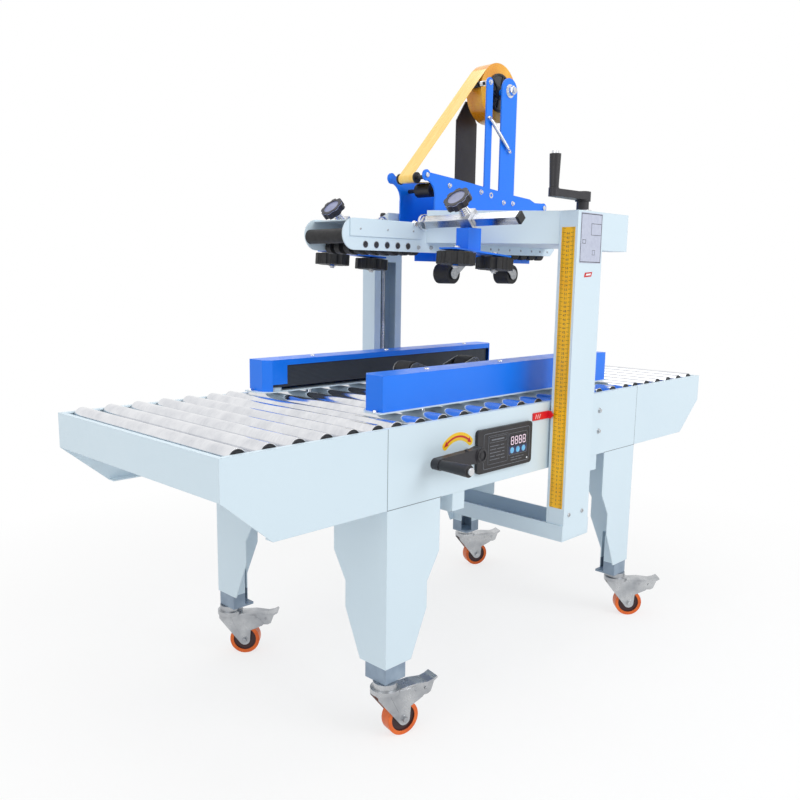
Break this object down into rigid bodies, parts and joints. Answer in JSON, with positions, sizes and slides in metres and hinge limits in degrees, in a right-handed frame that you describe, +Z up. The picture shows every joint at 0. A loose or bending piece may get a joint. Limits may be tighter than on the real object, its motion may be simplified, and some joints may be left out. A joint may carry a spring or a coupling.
{
  "type": "carton case sealer with side belt drive",
  "caption": "Case sealer: roller tables, side drive belts and a lifting mast with upper and lower tape heads that close cartons as they pass.",
  "frame": {"origin": "on the floor under the middle of the overall box; the table's centre plane lies at y = +33.5 mm, because the width crank stands out in front", "axes": "+X the way the carton travels, -Y the operator's side with crank and control panel, +Z up"},
  "size_m": [1.77, 0.785, 1.514],
  "materials": {
    "powder_white": "semi-gloss powder coat",
    "powder_blue": "gloss powder coat",
    "zinc_steel": "zinc plated",
    "chrome_rollers": "plated and polished",
    "black_plastic": "moulded, fine grain",
    "black_rubber": "matte",
    "orange_tread": "cast polyurethane",
    "tape_amber": "glossy film",
    "ruler_yellow": "printed scale",
    "red_paint": "gloss paint",
    "black_metal": "satin paint"
  },
  "bodies": {
    "base": {"side_panel_near": "powder_white", "side_panel_far": "powder_white", "infeed_table": "powder_white", "outfeed_table": "powder_white", "legs": "powder_white", "cross_tubes": "powder_white", "infeed_rollers": "chrome_rollers", "outfeed_rollers": "chrome_rollers", "bed_rollers": "chrome_rollers", "bed_rails": "powder_white", "guide_rods": "chrome_rollers", "lower_tape_head": "powder_blue", "mast_guides": "zinc_steel", "control_panel": "black_plastic", "height_pointer": "red_paint"},
    "mast": {"column_near": "powder_white", "column_far": "powder_white", "tie_channel": "powder_white", "height_ruler": "ruler_yellow", "head_beams": "powder_white", "head_housing": "powder_white", "nose_roller": "black_rubber", "skate_wheels": "black_rubber", "tape_plate_near": "powder_blue", "tape_plate_far": "powder_blue", "reel_back_strip": "black_metal", "tape_web": "tape_amber", "tape_guide_rollers": "black_plastic", "press_bars": "chrome_rollers"},
    "height_crank": {"height_crank": "black_plastic", "lift_screw_near": "zinc_steel"},
    "height_grip": {"height_crank_grip": "black_plastic"},
    "far_screw": {"lift_screw_far": "zinc_steel"},
    "reel": {"tape_reel": "tape_amber"},
    "upper_arm_front": {"tape_arm_front": "zinc_steel"},
    "upper_arm_rear": {"tape_arm_rear": "zinc_steel"},
    "lower_arm_front": {"lower_arm_front": "zinc_steel"},
    "lower_arm_rear": {"lower_arm_rear": "zinc_steel"},
    "press_near": {"press_unit_near": "powder_blue", "press_rollers_near": "black_rubber"},
    "press_far": {"press_unit_far": "powder_blue", "press_rollers_far": "black_rubber"},
    "drive_near": {"drive_cover_near": "powder_blue", "drive_belt_near": "black_rubber", "drive_carriage_near": "powder_white"},
    "drive_far": {"drive_cover_far": "powder_blue", "drive_belt_far": "black_rubber", "drive_carriage_far": "powder_white"},
    "width_crank": {"width_crank": "black_plastic", "width_screw": "zinc_steel"},
    "width_grip": {"width_crank_grip": "black_plastic"},
    "fork_infeed_near": {"caster_fork_infeed_near": "zinc_steel"},
    "wheel_infeed_near": {"caster_wheel_infeed_near": "orange_tread"},
    "fork_infeed_far": {"caster_fork_infeed_far": "zinc_steel"},
    "wheel_infeed_far": {"caster_wheel_infeed_far": "orange_tread"},
    "fork_outfeed_near": {"caster_fork_outfeed_near": "zinc_steel"},
    "wheel_outfeed_near": {"caster_wheel_outfeed_near": "orange_tread"},
    "fork_outfeed_far": {"caster_fork_outfeed_far": "zinc_steel"},
    "wheel_outfeed_far": {"caster_wheel_outfeed_far": "orange_tread"}
  },
  "joints": [
    {"name": "head_lift", "type": "slide", "parent": "base", "child": "mast", "axis": [0, 0, 1], "range_m": [-0.19, 0.13]},
    {"name": "height_crank_turn", "type": "hinge", "parent": "mast", "child": "height_crank", "pos_m": [0.1175, -0.3005, 1.121], "axis": [0, 0, 1], "continuous": true},
    {"name": "height_grip_spin", "type": "hinge", "parent": "height_crank", "child": "height_grip", "pos_m": [-0.0045, -0.3005, 1.2], "axis": [0, 0, 1], "continuous": true},
    {"name": "far_screw_turn", "type": "hinge", "parent": "mast", "child": "far_screw", "pos_m": [0.1175, 0.3675, 1.121], "axis": [0, 0, 1], "continuous": true},
    {"name": "reel_spin", "type": "hinge", "parent": "mast", "child": "reel", "pos_m": [0.184, 0.0335, 1.44], "axis": [0, 1, 0], "continuous": true},
    {"name": "upper_arm_front_swing", "type": "hinge", "parent": "mast", "child": "upper_arm_front", "pos_m": [0.1, 0.0335, 1.034], "axis": [0, 1, 0], "range_deg": [0, 36], "stiffness_Nm_per_rad": 1.5, "springref_deg": -34.38},
    {"name": "upper_arm_rear_swing", "type": "hinge", "parent": "mast", "child": "upper_arm_rear", "pos_m": [0.192, 0.0335, 1.034], "axis": [0, -1, 0], "range_deg": [0, 36], "stiffness_Nm_per_rad": 1.5, "springref_deg": -34.38},
    {"name": "lower_arm_front_swing", "type": "hinge", "parent": "base", "child": "lower_arm_front", "pos_m": [-0.04, 0.0335, 0.668], "axis": [0, -1, 0], "range_deg": [0, 45], "stiffness_Nm_per_rad": 4, "springref_deg": -34.38},
    {"name": "lower_arm_rear_swing", "type": "hinge", "parent": "base", "child": "lower_arm_rear", "pos_m": [0.03, 0.0335, 0.668], "axis": [0, 1, 0], "range_deg": [0, 45], "stiffness_Nm_per_rad": 4, "springref_deg": -34.38},
    {"name": "press_near_slide", "type": "slide", "parent": "mast", "child": "press_near", "axis": [0, 1, 0], "range_m": [-0.07, 0.07]},
    {"name": "press_far_slide", "type": "slide", "parent": "mast", "child": "press_far", "axis": [0, -1, 0], "range_m": [-0.07, 0.07]},
    {"name": "drive_near_slide", "type": "slide", "parent": "base", "child": "drive_near", "axis": [0, 1, 0], "range_m": [-0.065, 0.073]},
    {"name": "drive_far_slide", "type": "slide", "parent": "base", "child": "drive_far", "axis": [0, -1, 0], "range_m": [-0.065, 0.073]},
    {"name": "width_crank_turn", "type": "hinge", "parent": "base", "child": "width_crank", "pos_m": [-0.25, -0.2705, 0.588], "axis": [0, -1, 0], "continuous": true},
    {"name": "width_grip_spin", "type": "hinge", "parent": "width_crank", "child": "width_grip", "pos_m": [-0.382, -0.3465, 0.588], "axis": [0, -1, 0], "continuous": true},
    {"name": "swivel_infeed_near", "type": "hinge", "parent": "base", "child": "fork_infeed_near", "pos_m": [-0.473, -0.2495, 0.128], "axis": [0, 0, 1], "continuous": true},
    {"name": "wheel_spin_infeed_near", "type": "hinge", "parent": "fork_infeed_near", "child": "wheel_infeed_near", "pos_m": [-0.43597, -0.25805, 0.0375], "axis": [0.225, 0.9744, 0], "continuous": true},
    {"name": "swivel_infeed_far", "type": "hinge", "parent": "base", "child": "fork_infeed_far", "pos_m": [-0.473, 0.3165, 0.128], "axis": [0, 0, 1], "continuous": true},
    {"name": "wheel_spin_infeed_far", "type": "hinge", "parent": "fork_infeed_far", "child": "wheel_infeed_far", "pos_m": [-0.44613, 0.28963, 0.0375], "axis": [0.7071, 0.7071, 0], "continuous": true},
    {"name": "swivel_outfeed_near", "type": "hinge", "parent": "base", "child": "fork_outfeed_near", "pos_m": [0.473, -0.2495, 0.128], "axis": [0, 0, 1], "continuous": true},
    {"name": "wheel_spin_outfeed_near", "type": "hinge", "parent": "fork_outfeed_near", "child": "wheel_outfeed_near", "pos_m": [0.49987, -0.27637, 0.0375], "axis": [0.7071, 0.7071, 0], "continuous": true},
    {"name": "swivel_outfeed_far", "type": "hinge", "parent": "base", "child": "fork_outfeed_far", "pos_m": [0.473, 0.3165, 0.128], "axis": [0, 0, 1], "continuous": true},
    {"name": "wheel_spin_outfeed_far", "type": "hinge", "parent": "fork_outfeed_far", "child": "wheel_outfeed_far", "pos_m": [0.50686, 0.29925, 0.0375], "axis": [0.454, 0.891, 0], "continuous": true}
  ],
  "couplings": [
    {"joint": "far_screw_turn", "follows": "height_crank_turn", "ratio": 1},
    {"joint": "upper_arm_rear_swing", "follows": "upper_arm_front_swing", "ratio": 1},
    {"joint": "lower_arm_rear_swing", "follows": "lower_arm_front_swing", "ratio": 1},
    {"joint": "drive_far_slide", "follows": "drive_near_slide", "ratio": 1}
  ]
}
